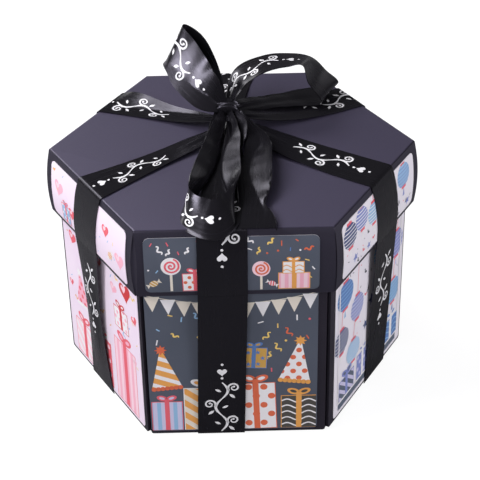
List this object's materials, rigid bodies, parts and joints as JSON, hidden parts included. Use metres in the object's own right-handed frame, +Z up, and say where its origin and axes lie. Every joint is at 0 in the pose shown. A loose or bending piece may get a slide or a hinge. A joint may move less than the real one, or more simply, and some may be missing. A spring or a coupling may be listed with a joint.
{
  "type": "explosion gift box",
  "caption": "Hexagonal explosion gift box: a lid holds nested rings of card walls upright, which fall open as it lifts, round a small lidded box; satin ribbon with a bow.",
  "frame": {"origin": "on the surface that the box stands on, under the box's axis", "axes": "+Z up; the front face looks along -Y; +X to the right seen from the front"},
  "size_m": [0.1602, 0.1493, 0.1506],
  "materials": {
    "lid_card": "matt charcoal card with a faint violet cast",
    "wall_card": "matt black card",
    "inner_card": "matt charcoal card",
    "printed_paper_dark": "smooth printed art paper, slate ground",
    "printed_paper_pink": "smooth printed art paper, pale pink ground",
    "printed_paper_lilac": "smooth printed art paper, pale lilac ground",
    "satin_ribbon": "black satin with a soft sheen and a small white pattern"
  },
  "bodies": {
    "base": {"outer_base": "wall_card", "middle_base": "inner_card", "inner_base": "inner_card", "gift_box": "inner_card", "base_ribbon": "satin_ribbon"},
    "lid": {"lid": "lid_card", "lid_print_1": "printed_paper_dark", "lid_print_2": "printed_paper_lilac", "lid_print_3": "printed_paper_pink", "lid_print_4": "printed_paper_dark", "lid_print_5": "printed_paper_lilac", "lid_print_6": "printed_paper_pink", "lid_ribbon_1": "satin_ribbon", "lid_ribbon_2": "satin_ribbon", "lid_ribbon_3": "satin_ribbon", "lid_ribbon_4": "satin_ribbon", "lid_ribbon_5": "satin_ribbon", "lid_ribbon_6": "satin_ribbon", "bow_knot": "satin_ribbon", "bow_loop_left": "satin_ribbon", "bow_loop_right": "satin_ribbon", "bow_loop_front": "satin_ribbon", "bow_tail": "satin_ribbon"},
    "outer_flap_1": {"outer_wall_1": "wall_card", "outer_print_1": "printed_paper_dark", "wall_ribbon_1": "satin_ribbon"},
    "outer_flap_2": {"outer_wall_2": "wall_card", "outer_print_2": "printed_paper_lilac", "wall_ribbon_2": "satin_ribbon"},
    "outer_flap_3": {"outer_wall_3": "wall_card", "outer_print_3": "printed_paper_pink", "wall_ribbon_3": "satin_ribbon"},
    "outer_flap_4": {"outer_wall_4": "wall_card", "outer_print_4": "printed_paper_dark", "wall_ribbon_4": "satin_ribbon"},
    "outer_flap_5": {"outer_wall_5": "wall_card", "outer_print_5": "printed_paper_lilac", "wall_ribbon_5": "satin_ribbon"},
    "outer_flap_6": {"outer_wall_6": "wall_card", "outer_print_6": "printed_paper_pink", "wall_ribbon_6": "satin_ribbon"},
    "middle_flap_1": {"middle_wall_1": "inner_card"},
    "middle_flap_2": {"middle_wall_2": "inner_card"},
    "middle_flap_3": {"middle_wall_3": "inner_card"},
    "middle_flap_4": {"middle_wall_4": "inner_card"},
    "middle_flap_5": {"middle_wall_5": "inner_card"},
    "middle_flap_6": {"middle_wall_6": "inner_card"},
    "inner_flap_1": {"inner_wall_1": "inner_card"},
    "inner_flap_2": {"inner_wall_2": "inner_card"},
    "inner_flap_3": {"inner_wall_3": "inner_card"},
    "inner_flap_4": {"inner_wall_4": "inner_card"},
    "inner_flap_5": {"inner_wall_5": "inner_card"},
    "inner_flap_6": {"inner_wall_6": "inner_card"},
    "gift_lid": {"gift_box_lid": "inner_card"}
  },
  "joints": [
    {"name": "lid_lift", "type": "slide", "parent": "base", "child": "lid", "axis": [0, 0, 1], "range_m": [0, 0.36]},
    {"name": "outer_fold_1", "type": "hinge", "parent": "base", "child": "outer_flap_1", "pos_m": [0, -0.0658, 0.0009], "axis": [1, 0, 0], "range_deg": [0, 90]},
    {"name": "outer_fold_2", "type": "hinge", "parent": "base", "child": "outer_flap_2", "pos_m": [0.05698, -0.0329, 0.0009], "axis": [0.5, 0.866, 0], "range_deg": [0, 90]},
    {"name": "outer_fold_3", "type": "hinge", "parent": "base", "child": "outer_flap_3", "pos_m": [0.05698, 0.0329, 0.0009], "axis": [-0.5, 0.866, 0], "range_deg": [0, 90]},
    {"name": "outer_fold_4", "type": "hinge", "parent": "base", "child": "outer_flap_4", "pos_m": [0, 0.0658, 0.0009], "axis": [-1, 0, 0], "range_deg": [0, 90]},
    {"name": "outer_fold_5", "type": "hinge", "parent": "base", "child": "outer_flap_5", "pos_m": [-0.05698, 0.0329, 0.0009], "axis": [-0.5, -0.866, 0], "range_deg": [0, 90]},
    {"name": "outer_fold_6", "type": "hinge", "parent": "base", "child": "outer_flap_6", "pos_m": [-0.05698, -0.0329, 0.0009], "axis": [0.5, -0.866, 0], "range_deg": [0, 90]},
    {"name": "middle_fold_1", "type": "hinge", "parent": "base", "child": "middle_flap_1", "pos_m": [0, -0.0616, 0.0024], "axis": [1, 0, 0], "range_deg": [0, 90]},
    {"name": "middle_fold_2", "type": "hinge", "parent": "base", "child": "middle_flap_2", "pos_m": [0.05335, -0.0308, 0.0024], "axis": [0.5, 0.866, 0], "range_deg": [0, 90]},
    {"name": "middle_fold_3", "type": "hinge", "parent": "base", "child": "middle_flap_3", "pos_m": [0.05335, 0.0308, 0.0024], "axis": [-0.5, 0.866, 0], "range_deg": [0, 90]},
    {"name": "middle_fold_4", "type": "hinge", "parent": "base", "child": "middle_flap_4", "pos_m": [0, 0.0616, 0.0024], "axis": [-1, 0, 0], "range_deg": [0, 90]},
    {"name": "middle_fold_5", "type": "hinge", "parent": "base", "child": "middle_flap_5", "pos_m": [-0.05335, 0.0308, 0.0024], "axis": [-0.5, -0.866, 0], "range_deg": [0, 90]},
    {"name": "middle_fold_6", "type": "hinge", "parent": "base", "child": "middle_flap_6", "pos_m": [-0.05335, -0.0308, 0.0024], "axis": [0.5, -0.866, 0], "range_deg": [0, 90]},
    {"name": "inner_fold_1", "type": "hinge", "parent": "base", "child": "inner_flap_1", "pos_m": [0, -0.0576, 0.0037], "axis": [1, 0, 0], "range_deg": [0, 90]},
    {"name": "inner_fold_2", "type": "hinge", "parent": "base", "child": "inner_flap_2", "pos_m": [0.04988, -0.0288, 0.0037], "axis": [0.5, 0.866, 0], "range_deg": [0, 90]},
    {"name": "inner_fold_3", "type": "hinge", "parent": "base", "child": "inner_flap_3", "pos_m": [0.04988, 0.0288, 0.0037], "axis": [-0.5, 0.866, 0], "range_deg": [0, 90]},
    {"name": "inner_fold_4", "type": "hinge", "parent": "base", "child": "inner_flap_4", "pos_m": [0, 0.0576, 0.0037], "axis": [-1, 0, 0], "range_deg": [0, 90]},
    {"name": "inner_fold_5", "type": "hinge", "parent": "base", "child": "inner_flap_5", "pos_m": [-0.04988, 0.0288, 0.0037], "axis": [-0.5, -0.866, 0], "range_deg": [0, 90]},
    {"name": "inner_fold_6", "type": "hinge", "parent": "base", "child": "inner_flap_6", "pos_m": [-0.04988, -0.0288, 0.0037], "axis": [0.5, -0.866, 0], "range_deg": [0, 90]},
    {"name": "gift_box_lid_lift", "type": "slide", "parent": "base", "child": "gift_lid", "axis": [0, 0, 1], "range_m": [0, 0.03]}
  ],
  "couplings": [
    {"joint": "outer_fold_1", "follows": "lid_lift", "rad_per_m": 4.363},
    {"joint": "outer_fold_2", "follows": "lid_lift", "rad_per_m": 4.363},
    {"joint": "outer_fold_3", "follows": "lid_lift", "rad_per_m": 4.363},
    {"joint": "outer_fold_4", "follows": "lid_lift", "rad_per_m": 4.363},
    {"joint": "outer_fold_5", "follows": "lid_lift", "rad_per_m": 4.363},
    {"joint": "outer_fold_6", "follows": "lid_lift", "rad_per_m": 4.363},
    {"joint": "middle_fold_1", "follows": "lid_lift", "rad_per_m": 4.363},
    {"joint": "middle_fold_2", "follows": "lid_lift", "rad_per_m": 4.363},
    {"joint": "middle_fold_3", "follows": "lid_lift", "rad_per_m": 4.363},
    {"joint": "middle_fold_4", "follows": "lid_lift", "rad_per_m": 4.363},
    {"joint": "middle_fold_5", "follows": "lid_lift", "rad_per_m": 4.363},
    {"joint": "middle_fold_6", "follows": "lid_lift", "rad_per_m": 4.363},
    {"joint": "inner_fold_1", "follows": "lid_lift", "rad_per_m": 4.363},
    {"joint": "inner_fold_2", "follows": "lid_lift", "rad_per_m": 4.363},
    {"joint": "inner_fold_3", "follows": "lid_lift", "rad_per_m": 4.363},
    {"joint": "inner_fold_4", "follows": "lid_lift", "rad_per_m": 4.363},
    {"joint": "inner_fold_5", "follows": "lid_lift", "rad_per_m": 4.363},
    {"joint": "inner_fold_6", "follows": "lid_lift", "rad_per_m": 4.363}
  ]
}
